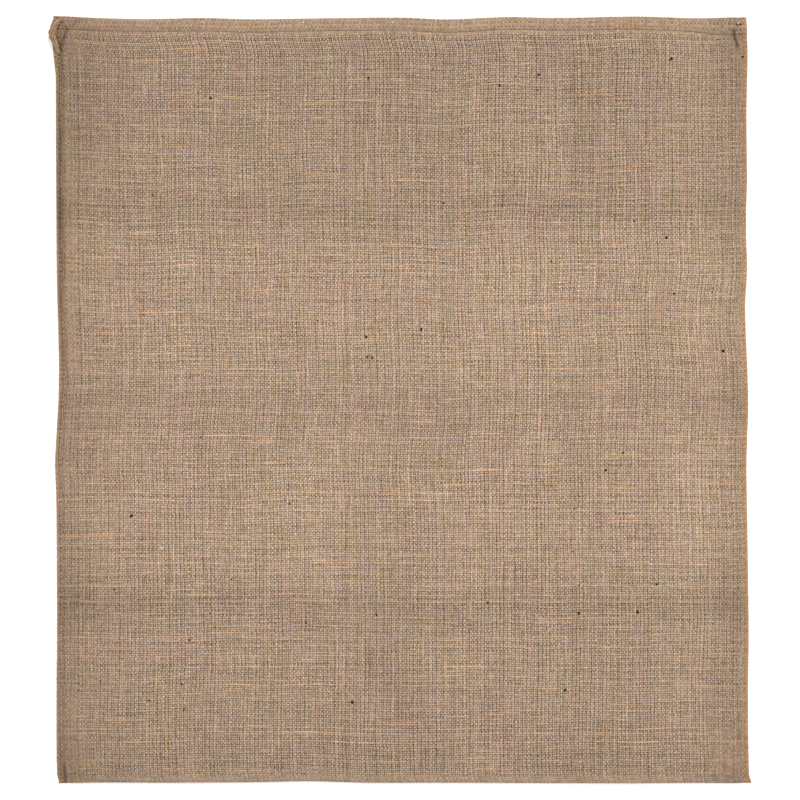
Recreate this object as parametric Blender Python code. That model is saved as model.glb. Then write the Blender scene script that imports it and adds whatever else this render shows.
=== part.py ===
"""An empty jute sack lying flat: one length of hessian folded across at the foot of the sack,
sewn up both sides, with its mouth hems turned outward. Metres, +Z up, mouth towards +Y, the
front uppermost and the back flat on the surface. The origin is the middle of the box that
holds the sack, at its lowest.
"""

import math

import bmesh
import bpy
from mathutils import Matrix, Vector, noise

# ---- cloth ----
CLOTH = 0.0010
FOLD_GAP = 0.0004
HEM_DEEP = 0.0175
HEM_EASE = 0.0120
LOFT = 0.0093
RIM_HIGH = 0.0036
RIM_ROUND = 0.0010

# ---- outline: how far each edge stands outside the plain rectangle, place by place ----
HALF_WIDE = 0.4990
HALF_LONG = 0.5530
# columns: place along the length, outward
LEFT_EDGE = (
    (-0.553, -0.0020),
    (-0.540, 0.0005),
    (-0.430, 0.0012),
    (-0.320, 0.0000),
    (-0.130, 0.0016),
    (-0.092, 0.0032),
    (-0.043, 0.0008),
    (0.030, -0.0026),
    (0.180, -0.0002),
    (0.360, 0.0008),
    (0.465, 0.0018),
    (0.505, 0.0045),
    (0.520, 0.0098),
    (0.537, 0.0110),
    (0.553, 0.0060),
)
# columns: place along the length, outward
RIGHT_EDGE = (
    (-0.553, 0.0068),
    (-0.542, 0.0036),
    (-0.340, 0.0030),
    (-0.190, 0.0008),
    (-0.080, -0.0020),
    (-0.020, 0.0022),
    (0.030, 0.0016),
    (0.137, -0.0022),
    (0.190, 0.0008),
    (0.254, -0.0022),
    (0.320, 0.0010),
    (0.510, 0.0006),
    (0.553, -0.0020),
)
# columns: place across the width, outward
MOUTH_EDGE = (
    (-0.500, 0.0034),
    (-0.440, -0.0002),
    (-0.370, -0.0022),
    (-0.290, -0.0006),
    (-0.220, -0.0020),
    (-0.100, 0.0004),
    (0.000, 0.0008),
    (0.064, -0.0022),
    (0.154, 0.0016),
    (0.220, -0.0002),
    (0.340, 0.0018),
    (0.430, -0.0006),
    (0.500, 0.0016),
)
# columns: place across the width, outward
FOOT_EDGE = (
    (-0.500, 0.0016),
    (-0.440, 0.0000),
    (-0.340, 0.0004),
    (-0.206, -0.0014),
    (-0.136, -0.0030),
    (-0.050, 0.0002),
    (0.056, -0.0004),
    (0.320, 0.0014),
    (0.430, 0.0006),
    (0.500, 0.0012),
)

# ---- how the front climbs from each edge: columns: inset from the edge, height ----
LEFT_CLIMB = (
    (0.0000, 0.0036),
    (0.0030, 0.0048),
    (0.0065, 0.0050),
    (0.0115, 0.0042),
    (0.0200, 0.0066),
    (0.0330, 0.0086),
    (0.0600, LOFT),
)
RIGHT_CLIMB = (
    (0.0000, 0.0036),
    (0.0030, 0.0050),
    (0.0065, 0.0052),
    (0.0110, 0.0052),
    (0.0170, 0.0074),
    (0.0280, 0.0088),
    (0.0500, LOFT),
)
FOOT_CLIMB = (
    (0.0000, 0.0036),
    (0.0020, 0.0050),
    (0.0070, 0.0062),
    (0.0160, 0.0078),
    (0.0320, 0.0088),
    (0.0600, LOFT),
)

# ---- old packing creases in the front: columns: place, depth, half width, waver ----
CROSS_CREASES = (
    (0.272, 0.0011, 0.020, 0.006),
    (-0.010, 0.0009, 0.014, 0.004),
    (-0.286, 0.0011, 0.018, 0.006),
)
LONG_CREASES = (
    (0.004, 0.0007, 0.022, 0.007),
    (0.262, 0.0005, 0.018, 0.006),
    (-0.232, 0.0004, 0.018, 0.006),
)
SWELL = 0.0014
SWELL_ACROSS = 0.16
SWELL_ALONG = 0.13
STIFF_SHARE = 0.80  # share of the loft below which the edges hold the cloth taut

# ---- mesh of the blank ----
MIDDLE_COLUMNS = 20
BODY_ROWS = 26
MOUTH_ROW_INSETS = (0.0000, HEM_DEEP / 2, HEM_DEEP, HEM_DEEP + HEM_EASE, 0.0460)
HEM_TURN_STEPS = 4
HEM_FLAT_STEPS = 2

COLUMNS = len(LEFT_CLIMB) + MIDDLE_COLUMNS + len(RIGHT_CLIMB) - 1
ROWS = len(FOOT_CLIMB) + BODY_ROWS + len(MOUTH_ROW_INSETS) - 1
HEM_ROWS = HEM_TURN_STEPS + HEM_FLAT_STEPS
BACK, RIM, FRONT = 0.0, 0.5, 1.0

JUTE_COLOUR = (0.36, 0.25, 0.16, 1.0)
JUTE_ROUGHNESS = 0.95


def smooth(t):
    t = min(max(t, 0.0), 1.0)
    return t * t * (3 - 2 * t)


def read_table(table, place):
    """The second column at this place of the first, eased from row to row."""
    if place <= table[0][0]:
        return table[0][1]
    for (start, low), (end, high) in zip(table, table[1:]):
        if place <= end:
            return low + (high - low) * smooth((place - start) / (end - start))
    return table[-1][1]


def wander(place, seed):
    """A slow drift between about -1 and 1."""
    return noise.noise(Vector((place * 4.0, seed, 0.0))) * 1.6


def relief(x, y):
    """How far the front stands above or below its loft, from creases and slack."""
    height = SWELL * noise.noise(Vector((x / SWELL_ACROSS, y / SWELL_ALONG, 3.1)))
    for number, (place, depth, half_width, waver) in enumerate(CROSS_CREASES):
        off = (y - place - waver * wander(x, number + 0.5)) / half_width
        strength = 0.75 + 0.35 * wander(x + 2.0, number + 7.5)
        height -= depth * strength * math.exp(-off * off)
    for number, (place, depth, half_width, waver) in enumerate(LONG_CREASES):
        off = (x - place - waver * wander(y, number + 20.5)) / half_width
        strength = 0.70 + 0.45 * wander(y + 2.0, number + 27.5)
        height -= depth * strength * math.exp(-off * off)
    return height


def across(column, y):
    """The x of a column of the blank, and its inset from the nearer side."""
    left = -HALF_WIDE - read_table(LEFT_EDGE, y)
    right = HALF_WIDE + read_table(RIGHT_EDGE, y)
    last_left = len(LEFT_CLIMB) - 1
    first_right = COLUMNS - len(RIGHT_CLIMB) + 1
    if column <= last_left:
        return left + LEFT_CLIMB[column][0]
    if column >= first_right:
        return right - RIGHT_CLIMB[COLUMNS - column][0]
    start = left + LEFT_CLIMB[-1][0]
    end = right - RIGHT_CLIMB[-1][0]
    return start + (end - start) * (column - last_left) / (first_right - last_left)


def along(row, x):
    """The y of a row of the blank between the foot and the mouth."""
    foot = -HALF_LONG - read_table(FOOT_EDGE, x)
    mouth = HALF_LONG + read_table(MOUTH_EDGE, x)
    last_foot = len(FOOT_CLIMB) - 1
    first_mouth = ROWS - len(MOUTH_ROW_INSETS) + 1
    if row <= last_foot:
        return foot + FOOT_CLIMB[row][0]
    if row >= first_mouth:
        return mouth - MOUTH_ROW_INSETS[ROWS - row]
    start = foot + FOOT_CLIMB[-1][0]
    end = mouth - MOUTH_ROW_INSETS[-1]
    return start + (end - start) * (row - last_foot) / (first_mouth - last_foot)


def front_height(x, y):
    left = -HALF_WIDE - read_table(LEFT_EDGE, y)
    right = HALF_WIDE + read_table(RIGHT_EDGE, y)
    foot = -HALF_LONG - read_table(FOOT_EDGE, x)
    climbs = (
        read_table(LEFT_CLIMB, x - left),
        read_table(RIGHT_CLIMB, right - x),
        read_table(FOOT_CLIMB, y - foot),
    )
    share = math.prod(climb / LOFT for climb in climbs)
    edge = max(min(min(climbs), LOFT * share), RIM_HIGH)
    slack = smooth((min(climbs) / LOFT - STIFF_SHARE) / (1 - STIFF_SHARE))
    lift = back_height(x, y) * (1 - smooth(edge / LOFT))
    return edge + lift + slack * relief(x, y)


def back_height(x, y):
    """The back is flat down, and lifts by one thickness over its own turned hem."""
    mouth = HALF_LONG + read_table(MOUTH_EDGE, x)
    lift = smooth((y - (mouth - HEM_DEEP - HEM_EASE)) / HEM_EASE)
    return (CLOTH + FOLD_GAP) * lift


def hem_step(step):
    """A hem row's inset from the mouth and its rise out of the panel."""
    radius = FOLD_GAP / 2
    if step <= HEM_TURN_STEPS:
        turn = math.pi * step / HEM_TURN_STEPS
        return -radius * math.sin(turn), radius * (1 - math.cos(turn))
    run = (step - HEM_TURN_STEPS) / HEM_FLAT_STEPS
    return HEM_DEEP * run, FOLD_GAP


def place(column, row, layer):
    """A corner of the unit blank as a point on the outside face of the sack."""
    column = round(column)
    row = round(row)
    inset, rise = hem_step(max(0, row - ROWS))
    x = across(column, 0.0)
    for _ in range(3):
        y = along(min(row, ROWS), x) - inset
        x = across(column, y)
    if layer == BACK:
        return Vector((x, y, back_height(x, y) - rise))
    if layer == FRONT:
        return Vector((x, y, front_height(x, y) + rise))
    side = (column == COLUMNS) - (column == 0)
    out = -RIM_ROUND if row == 0 else 0.0
    return Vector((x + side * RIM_ROUND, y + out, (back_height(x, y) + front_height(x, y)) / 2))


def blank_pocket():
    """A flat pocket in unit cells: back at 0, front at 1, open at its last row."""
    blank = bmesh.new()
    size = Matrix.Translation((COLUMNS / 2, ROWS / 2, 0)) @ Matrix.Diagonal((COLUMNS, ROWS, 1, 1))
    bmesh.ops.create_grid(blank, x_segments=COLUMNS, y_segments=ROWS, size=0.5, matrix=size)
    bmesh.ops.reverse_faces(blank, faces=blank.faces)
    raised = bmesh.ops.duplicate(blank, geom=blank.faces[:] + blank.edges[:] + blank.verts[:])["geom"]
    front = [item for item in raised if isinstance(item, bmesh.types.BMVert)]
    bmesh.ops.translate(blank, verts=front, vec=(0, 0, FRONT))
    bmesh.ops.reverse_faces(blank, faces=[item for item in raised if isinstance(item, bmesh.types.BMFace)])
    rims = [edge for edge in blank.edges if edge.is_boundary and not in_mouth(edge)]
    walls = bmesh.ops.bridge_loops(blank, edges=rims)["edges"]
    upright = [edge for edge in walls if abs(edge.verts[0].co.z - edge.verts[1].co.z) > 0.9]
    bmesh.ops.subdivide_edges(blank, edges=upright, cuts=1)
    for layer in (BACK, FRONT):
        turn_hem(blank, layer)
    bmesh.ops.recalc_face_normals(blank, faces=blank.faces)
    return blank


def in_mouth(edge):
    return all(round(vert.co.y) == ROWS for vert in edge.verts)


def turn_hem(blank, layer):
    """Adds the rows of one hem beyond the mouth, on the back or the front."""
    line = [
        edge
        for edge in blank.edges
        if in_mouth(edge) and all(abs(vert.co.z - layer) < 0.1 for vert in edge.verts)
    ]
    for _ in range(HEM_ROWS):
        added = bmesh.ops.extrude_edge_only(blank, edges=line)["geom"]
        bmesh.ops.translate(
            blank, verts=[item for item in added if isinstance(item, bmesh.types.BMVert)], vec=(0, 1, 0)
        )
        line = [item for item in added if isinstance(item, bmesh.types.BMEdge)]


def centred(mesh):
    """Moves the mesh so that the middle of its box's foot is the origin."""
    low = Vector(min(vert.co[axis] for vert in mesh.verts) for axis in range(3))
    high = Vector(max(vert.co[axis] for vert in mesh.verts) for axis in range(3))
    middle = (low + high) / 2
    bmesh.ops.translate(mesh, verts=mesh.verts, vec=(-middle.x, -middle.y, -low.z))


def jute():
    material = bpy.data.materials.new("jute_hessian")
    material.use_nodes = True
    shader = material.node_tree.nodes["Principled BSDF"]
    shader.inputs["Base Color"].default_value = JUTE_COLOUR
    shader.inputs["Roughness"].default_value = JUTE_ROUGHNESS
    shader.inputs["Metallic"].default_value = 0.0
    return material


def sack_cloth():
    """The whole sack: the pocket's outside face, given its thickness inward."""
    blank = blank_pocket()
    for vert in blank.verts:
        vert.co = place(*vert.co)
    blank.normal_update()
    bmesh.ops.solidify(blank, geom=blank.faces[:], thickness=CLOTH)
    centred(blank)
    mesh = bpy.data.meshes.new("sack_cloth")
    blank.to_mesh(mesh)
    blank.free()
    mesh.shade_smooth()
    mesh.materials.append(jute())
    return bpy.data.objects.new("sack_cloth", mesh)


def main():
    for item in list(bpy.data.objects):
        bpy.data.objects.remove(item)
    collection = bpy.data.collections.new("jute_sack")
    bpy.context.scene.collection.children.link(collection)
    collection.objects.link(sack_cloth())


main()
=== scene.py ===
"""Looks of an empty jute sack lying flat: its hessian with the old packing creases, the whip
stitches up both sides, the turned hems, loose yarns and lint. Metres, +Z up, mouth towards +Y.
"""

import math
import random

import bmesh
import bpy
from mathutils import Matrix, Vector, noise


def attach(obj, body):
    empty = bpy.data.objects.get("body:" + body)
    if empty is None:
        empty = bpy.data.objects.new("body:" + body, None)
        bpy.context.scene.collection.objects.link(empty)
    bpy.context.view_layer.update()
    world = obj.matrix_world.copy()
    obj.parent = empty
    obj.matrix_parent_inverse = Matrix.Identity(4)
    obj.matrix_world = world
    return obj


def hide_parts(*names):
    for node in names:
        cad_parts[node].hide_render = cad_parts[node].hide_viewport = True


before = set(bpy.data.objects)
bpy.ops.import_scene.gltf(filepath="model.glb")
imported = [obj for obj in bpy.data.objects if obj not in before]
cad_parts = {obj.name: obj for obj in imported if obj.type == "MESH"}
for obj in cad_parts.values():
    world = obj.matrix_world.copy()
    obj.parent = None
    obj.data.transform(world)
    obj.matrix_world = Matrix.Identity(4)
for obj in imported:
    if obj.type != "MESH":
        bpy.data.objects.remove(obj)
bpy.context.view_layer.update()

# ---- the cut sack: the plain rectangle it is sewn to, and where its middle lies ----
MIDDLE = Vector((0.0020, -0.00105, 0.0))
HALF_WIDE = 0.5004
HALF_LONG = 0.5530
CLOTH = 0.0010
FOLD_GAP = 0.0004
HEM_DEEP = 0.0175
HEM_EASE = 0.0120
LOFT = 0.0093
LOWEST_FRONT = 0.0021
FOOT_ROUND = 0.7
BACK_LIFT = 0.0009
BACK_LIFT_REACH = 0.011

# ---- outline: how far each edge stands outside the plain rectangle, place by place ----
# columns: place along the length, outward
LEFT_EDGE = (
    (-0.553, -0.0020),
    (-0.540, 0.0005),
    (-0.430, 0.0012),
    (-0.320, 0.0004),
    (-0.130, 0.0016),
    (-0.092, 0.0032),
    (-0.043, 0.0008),
    (0.030, -0.0026),
    (0.180, 0.0006),
    (0.360, 0.0019),
    (0.465, 0.0022),
    (0.495, 0.0024),
    (0.508, 0.0038),
    (0.517, 0.0074),
    (0.530, 0.0110),
    (0.539, 0.0108),
    (0.546, 0.0080),
    (0.553, 0.0050),
)
# columns: place along the length, outward
RIGHT_EDGE = (
    (-0.553, 0.0068),
    (-0.542, 0.0036),
    (-0.420, 0.0020),
    (-0.340, 0.0030),
    (-0.190, 0.0012),
    (-0.080, -0.0002),
    (-0.020, 0.0022),
    (0.030, 0.0016),
    (0.137, -0.0022),
    (0.190, 0.0008),
    (0.254, -0.0012),
    (0.320, 0.0006),
    (0.420, -0.0002),
    (0.510, 0.0014),
    (0.553, -0.0014),
)
# columns: place across the width, outward
MOUTH_EDGE = (
    (-0.500, 0.0034),
    (-0.440, -0.0002),
    (-0.370, -0.0018),
    (-0.290, -0.0002),
    (-0.220, -0.0020),
    (-0.100, -0.0006),
    (0.000, 0.0003),
    (0.064, -0.0022),
    (0.154, 0.0011),
    (0.220, -0.0002),
    (0.340, 0.0018),
    (0.430, -0.0006),
    (0.500, 0.0016),
)
# columns: place across the width, outward
FOOT_EDGE = (
    (-0.500, 0.0022),
    (-0.440, 0.0005),
    (-0.340, 0.0008),
    (-0.206, 0.0000),
    (-0.136, -0.0014),
    (-0.050, 0.0007),
    (0.056, 0.0007),
    (0.320, 0.0017),
    (0.430, 0.0010),
    (0.500, 0.0016),
)

# how far down the front hem reaches, as a share of its plain depth: columns: place across, share
HEM_REACH = (
    (-0.510, 1.05),
    (-0.400, 0.96),
    (-0.250, 1.03),
    (-0.120, 0.97),
    (0.060, 1.02),
    (0.200, 0.95),
    (0.330, 1.00),
    (0.420, 1.06),
    (0.455, 1.34),
    (0.485, 1.38),
    (0.510, 1.20),
)

# ---- how the front climbs from each edge: columns: inset from the edge, height ----
LEFT_CLIMB = (
    (0.0000, 0.0022),
    (0.0014, 0.0040),
    (0.0030, 0.0047),
    (0.0046, 0.0039),
    (0.0064, 0.0027),
    (0.0092, 0.0038),
    (0.0180, 0.0070),
    (0.0340, 0.0088),
    (0.0600, LOFT),
)
RIGHT_CLIMB = (
    (0.0000, 0.0022),
    (0.0015, 0.0042),
    (0.0040, 0.0055),
    (0.0075, 0.0052),
    (0.0110, 0.0050),
    (0.0170, 0.0072),
    (0.0280, 0.0088),
    (0.0500, LOFT),
)
FOOT_CLIMB = (
    (0.0000, 0.0036),
    (0.0020, 0.0050),
    (0.0070, 0.0063),
    (0.0160, 0.0078),
    (0.0320, 0.0088),
    (0.0600, LOFT),
)

# ---- old packing creases in the front, a ridge where the depth is below nothing ----
# columns: place along the length, start and end across, depth, half width, waver
CROSS_CREASES = (
    (0.272, -0.43, 0.24, 0.0021, 0.014, 0.006),
    (0.268, 0.20, 0.50, 0.0009, 0.018, 0.005),
    (-0.007, -0.50, 0.50, 0.0012, 0.008, 0.003),
    (-0.287, -0.50, 0.50, -0.0016, 0.014, 0.005),
    (-0.505, -0.42, 0.36, -0.0010, 0.016, 0.004),
)
# columns: place across the width, start and end along, depth, half width, waver
LONG_CREASES = (
    (0.272, 0.33, 0.55, 0.0016, 0.012, 0.004),
    (0.004, -0.52, -0.32, 0.0013, 0.011, 0.004),
    (0.113, -0.50, -0.41, 0.0012, 0.009, 0.004),
    (-0.235, -0.16, 0.01, 0.0010, 0.012, 0.004),
    (0.262, -0.42, 0.33, 0.0006, 0.018, 0.006),
    (-0.232, 0.05, 0.50, 0.0006, 0.018, 0.006),
)
# short sharp folds at the corners: columns: start x, start y, end x, end y, depth, half width
CORNER_FOLDS = (
    (0.4800, 0.5360, 0.4830, 0.5230, 0.0024, 0.0016),
    (0.4830, 0.5230, 0.4870, 0.5120, 0.0022, 0.0016),
    (-0.4905, -0.5300, -0.4890, -0.5560, 0.0022, 0.0016),
    (-0.4860, 0.5380, -0.4960, 0.5120, 0.0014, 0.0030),
)
CREASE_FADE = 0.035
SWELL = 0.0014
SWELL_ACROSS = 0.16
SWELL_ALONG = 0.13
STIFF_SHARE = 0.80
RUMPLE = 0.0005
RUMPLE_ACROSS = 0.034
RUMPLE_ALONG = RUMPLE_ACROSS / 0.7

# ---- painted light and shade of the creases, the sloping edges and the corner folds, with fading and soil: each step of tone is about a hundredth and a half of the colour ----
# painted light and shade: darker along the creases and towards the mouth and the sloping foot, lighter on
# the slopes that face the light between them
# columns: place along the length, tone
TONE_ALONG = (
    (-0.553, -9.0),
    (-0.500, -7.0),
    (-0.434, -3.0),
    (-0.347, -1.5),
    (-0.287, -4.5),
    (-0.246, 2.0),
    (-0.159, 4.0),
    (-0.057, 3.0),
    (-0.010, -1.0),
    (0.044, 2.5),
    (0.146, 5.0),
    (0.233, 3.0),
    (0.272, -5.0),
    (0.300, -2.0),
    (0.400, -3.5),
    (0.553, -6.0),
)
# columns: place across the width, tone
# painted shade: much darker towards the sloping left and right sides
TONE_ACROSS = (
    (-0.500, -19.0),
    (-0.474, -15.5),
    (-0.438, -9.0),
    (-0.365, -3.0),
    (-0.200, 0.0),
    (-0.040, -1.0),
    (0.004, -1.0),
    (0.106, 1.5),
    (0.207, 1.0),
    (0.272, -0.5),
    (0.345, 0.5),
    (0.432, -2.0),
    (0.482, -12.5),
    (0.500, -15.0),
)
# most dark patches lie along the long creases, at the corner folds and by the sloping sides, where they are
# painted shade; the rest, dark and light, vary the tone of stretches of the cloth
# columns: middle across, middle along, half width, half length, tone
TONE_PATCHES = (
    (0.178, 0.100, 0.045, 0.110, 5.0),
    (-0.083, 0.146, 0.050, 0.070, 3.0),
    (-0.133, -0.159, 0.050, 0.090, 4.0),
    (0.417, -0.144, 0.050, 0.090, 4.0),
    (0.417, 0.073, 0.060, 0.050, 3.5),
    (0.287, 0.000, 0.025, 0.070, 4.0),
    (0.113, -0.455, 0.032, 0.035, -5.0),
    (0.000, -0.430, 0.025, 0.080, -5.0),
    (-0.025, -0.290, 0.040, 0.100, -3.0),
    (-0.235, -0.070, 0.018, 0.090, -3.0),
    (0.270, 0.400, 0.018, 0.110, -4.5),
    (-0.450, 0.450, 0.040, 0.100, -5.0),
    (-0.460, -0.050, 0.030, 0.040, -4.0),
    (-0.450, -0.290, 0.060, 0.030, -4.0),
    (0.070, -0.060, 0.055, 0.035, -3.5),
    (0.250, -0.080, 0.030, 0.045, -3.0),
    (0.450, -0.290, 0.050, 0.025, -4.0),
    (0.485, 0.520, 0.018, 0.025, -9.0),
    (-0.485, -0.530, 0.030, 0.030, -4.0),
    (-0.290, 0.330, 0.060, 0.040, 3.5),
    (0.180, 0.370, 0.060, 0.050, 3.0),
    (-0.320, 0.050, 0.080, 0.050, 2.0),
)
TONE_STEP = 0.0148
TONE_WAVER = 0.008
CLOUD_TONE = 3.0
CLOUD_ACROSS = 0.045
CLOUD_ALONG = 0.060
BACK_TONE = -2.0
BACK_SIDE_SHARE = 0.6
DARKEST_SHARE = 0.25
FOLD_SHADE = 17000.0
# how strongly the groove beside the left rim is painted dark as shade, and how close the weave beside it is
# beaten: columns: place along the length, strength
LEFT_GROOVE = (
    (-0.553, 0.30),
    (-0.450, 0.25),
    (-0.200, 0.30),
    (0.020, 0.45),
    (0.090, 0.95),
    (0.330, 1.00),
    (0.430, 0.60),
    (0.553, 0.40),
)
GROOVE_INSET = 0.0054
GROOVE_HALF = 0.0044
GROOVE_WAVER = 0.0011
GROOVE_PAINTED_SHADE = -25.0
SLOPE_INSET = 0.0160
SLOPE_HALF = 0.0115
SLOPE_DENSE = 0.95
SIDE_DENSE = 0.20
SIDE_REACH = 0.16
HEM_DENSE = 1.6
# the closer weave just below the hem lightens the cloth there: painted light against the shadow line cast
# by the hem's edge
BELOW_HEM_DENSE = 0.8
BELOW_HEM_REACH = 0.008
FOOT_DENSE = 0.55
FOOT_REACH = 0.020
# where the weave is beaten close: columns: middle across, middle along, half width, half length, share
TIGHT_CORNERS = (
    (0.490, -0.530, 0.045, 0.075, 0.70),
    (-0.480, -0.500, 0.026, 0.110, 0.55),
    (0.492, 0.520, 0.022, 0.040, 0.60),
    (-0.478, 0.510, 0.020, 0.040, 0.60),
)
LEFT_RIM = 0.0024
RIGHT_RIM = 0.0064
RIM_SOFT = 0.0026
RIM_TONE = 7.0

# ---- fineness of the cloth mesh ----
GRADE_FIRST = 0.0011
GRADE_MORE = 0.00012
GRADE_COUNT = 14
MIDDLE_COLUMNS = 160
BODY_ROWS = 176
BACK_ROWS = 22
HEM_FLAT_STEPS = 8
HEM_THIN_ROWS = 3
HEM_THINNEST = 0.10
HEM_TURN_STEPS = 5
FOOT_TURN_STEPS = 5

# ---- weave: widths and shifts are shares of a yarn's pitch ----
WARP_PITCH = 0.00272
WEFT_PITCH = 0.00328
PAIR_SHIFT = 0.080
# how far the yarns drift from straight, in metres: columns: slow, quick
WARP_DRIFT = (0.0050, 0.0013)
WEFT_DRIFT = (0.0060, 0.0013)
SLOW_DRIFT_SCALE = 7.0
QUICK_DRIFT_SCALE = 90.0
STRAY = 0.16
STRAY_ALONG = 0.6
WARP_GIRTH = 0.82
WEFT_GIRTH = 0.75
GIRTH_OWN = 0.14
GIRTH_RUN = 0.50
GIRTH_DENSE = 0.50
# how yarns differ from their neighbours, and how often they change along their run
LANE_STEP = 7.31
HUE_LANE = 3.3
WEFT_SEED = 511.0
RUN_CHANGES = 14.0
HUE_CHANGES = 9.0
# the hues between which a yarn comes to stand proud: a pale warp or an orange weft
WARP_PROUD = (0.62, 0.70)
WEFT_PROUD = (0.645, 0.71)
# orange wefts come more often at the left and the foot: places on the cut cloth, and by how much
LEFT_ORANGE_REACH = (0.34, 0.04)
LEFT_ORANGE = 0.05
FOOT_ORANGE_REACH = (0.84, 1.06)
FOOT_ORANGE = 0.04
# height of a yarn's crown: its middle, its swing over and under, and more where it is proud
WARP_MIDDLE = 0.58
WARP_SWING = 0.42
WARP_PROUD_LIFT = 0.22
WEFT_MIDDLE = 0.60
WEFT_SWING = 0.36
WEFT_PROUD_LIFT = 0.36
CROSSING_SHARP = 8.0
# what a yarn's tone is made of
TONE_OWN = 0.60
TONE_MIDDLE = 0.15
TONE_RUN = 0.66
TONE_RUN_MIDDLE = 0.31
TONE_CROSSING = 0.40
TONE_LEAST = 0.10
TONE_STREAK = 0.5
WARP_TONE_SHARE = 0.8
WEFT_TONE_SHARE = 0.9
STREAK_FINE = 2400.0
STREAK_LONG = 160.0
# olive and mauve stretches
PATCH_ACROSS = 24.0
PATCH_ALONG = 11.0
PATCH_LEAN = 0.7
DENSE_CALM = 0.6
HUE_LEAN = 0.9
CROSSING_LEAN = 0.10
OLIVE_LEAN = (0.50, 0.36)
MAUVE_LEAN = (0.50, 0.62)
HOLE_LOW = 0.10
HOLE_HIGH = 0.77
HOLE_UNEVEN = 0.50
HOLE_GRAIN = 400.0
HOLE_CLOSES = 0.42
DENSE_CAST = (0.88, 0.825, 0.745, 1.0)
# painted shade: the near-black put where the yarns sink low, in the gaps between them and where they dip
# under a crossing
HOLE_SHADE = (0.052, 0.022, 0.007, 1.0)
WARP_DARK = (0.475, 0.313, 0.190, 1.0)
WARP_LIGHT = (0.985, 0.760, 0.574, 1.0)
WEFT_DARK = (0.362, 0.240, 0.144, 1.0)
WEFT_LIGHT = (0.826, 0.624, 0.464, 1.0)
OLIVE_CAST = (0.980, 0.990, 0.930, 1.0)
MAUVE_CAST = (1.010, 0.950, 1.010, 1.0)
ORANGE_CAST = (1.21, 1.09, 0.885, 1.0)
PALE_CAST = (1.08, 1.06, 1.00, 1.0)
HEM_CAST = (0.99, 1.005, 1.06, 1.0)
RIM_CAST = (1.09, 0.975, 0.84, 1.0)
HEM_FADE_OUT = 0.0012
HEM_FADE_IN = 0.0002
YARN_RELIEF = 0.0009
PLY_RELIEF = 0.0004
CLOTH_SPAN = 2.4

# ---- colours of the yarns and bits: dark, light ----
TWINE_COLOURS = ((0.25, 0.145, 0.080, 1.0), (0.72, 0.50, 0.31, 1.0))
KNOT_COLOURS = ((0.19, 0.105, 0.055, 1.0), (0.68, 0.45, 0.265, 1.0))
PALE_COLOURS = ((0.45, 0.34, 0.24, 1.0), (0.92, 0.72, 0.52, 1.0))
ORANGE_COLOURS = ((0.42, 0.235, 0.12, 1.0), (0.90, 0.53, 0.29, 1.0))
BARK_COLOURS = ((0.012, 0.008, 0.004, 1.0), (0.055, 0.030, 0.015, 1.0))
LINT_COLOURS = ((0.62, 0.57, 0.50, 1.0), (0.95, 0.93, 0.88, 1.0))
HAIR_COLOURS = ((0.34, 0.24, 0.15, 1.0), (0.72, 0.55, 0.38, 1.0))
# turns of twist along the whole of a strand
TWINE_TWIST = 900.0
KNOT_TWIST = 6.0
SLUB_TWIST = 12.0
WHITE = (1.0, 1.0, 1.0, 1.0)

# ---- floor, light and camera ----
FLOOR_COLOUR = (0.93, 0.93, 0.93, 1.0)
FLOOR_GLOW = 0.40
FLOOR_HALF = 30.0
FLOOR_DOWN = 0.0003
CAMERA_AT = (-0.0009, -0.0003, 2.745)
CAMERA_LENS = 85.0
CAMERA_SENSOR = 36.0
WORLD_LIGHT = 0.55
KEY_FROM = (0.8, 1.9, 2.2)
KEY_SPREAD = 14.0
KEY_POWER = 1.48

# ---- whip stitches up the sides ----
STITCH_PITCH = 0.0072
TWINE_RADIUS = 0.00090
WHIP_START = 0.007
WHIP_SHORT = 0.012
WHIP_UNEVEN = 0.16
EDGE_CLEAR = 0.0004
FLOOR_CLEAR = 0.0002
# the twine's girth up each side: columns: place along the length, share of its radius
TWINE_SHARE = {
    "left": ((-0.56, 0.62), (-0.30, 0.60), (0.00, 0.50), (0.30, 0.48), (0.56, 0.60)),
    "right": ((-0.56, 0.75), (-0.30, 0.85), (-0.10, 0.90), (-0.03, 0.62), (0.30, 0.55), (0.56, 0.60)),
}

# ---- the twisted ear at the mouth's left corner ----
KNOT_CORE = (
    (-0.4925, 0.5545, 0.0078),
    (-0.4980, 0.5495, 0.0092),
    (-0.5035, 0.5420, 0.0090),
    (-0.5065, 0.5330, 0.0080),
    (-0.5050, 0.5235, 0.0068),
    (-0.5005, 0.5135, 0.0060),
    (-0.4975, 0.5020, 0.0052),
)
KNOT_PLIES = 4
KNOT_TURNS = 2.1
KNOT_WIDE = 0.0042
KNOT_RADIUS = 0.0024
KNOT_SLANT = 0.35
KNOT_TALL = 0.60
KNOT_END_BOW = (0.0012, 0.0010, 0.0006)
KNOT_END_SHARE = 0.35
# columns: start, end
KNOT_ENDS = (
    ((-0.5070, 0.5400, 0.0095), (-0.5110, 0.5310, 0.0060)),
    ((-0.4970, 0.5530, 0.0115), (-0.4900, 0.5470, 0.0085)),
    ((-0.5050, 0.5280, 0.0105), (-0.4980, 0.5330, 0.0100)),
    ((-0.4890, 0.5400, 0.0095), (-0.4930, 0.5230, 0.0085)),
)

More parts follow.
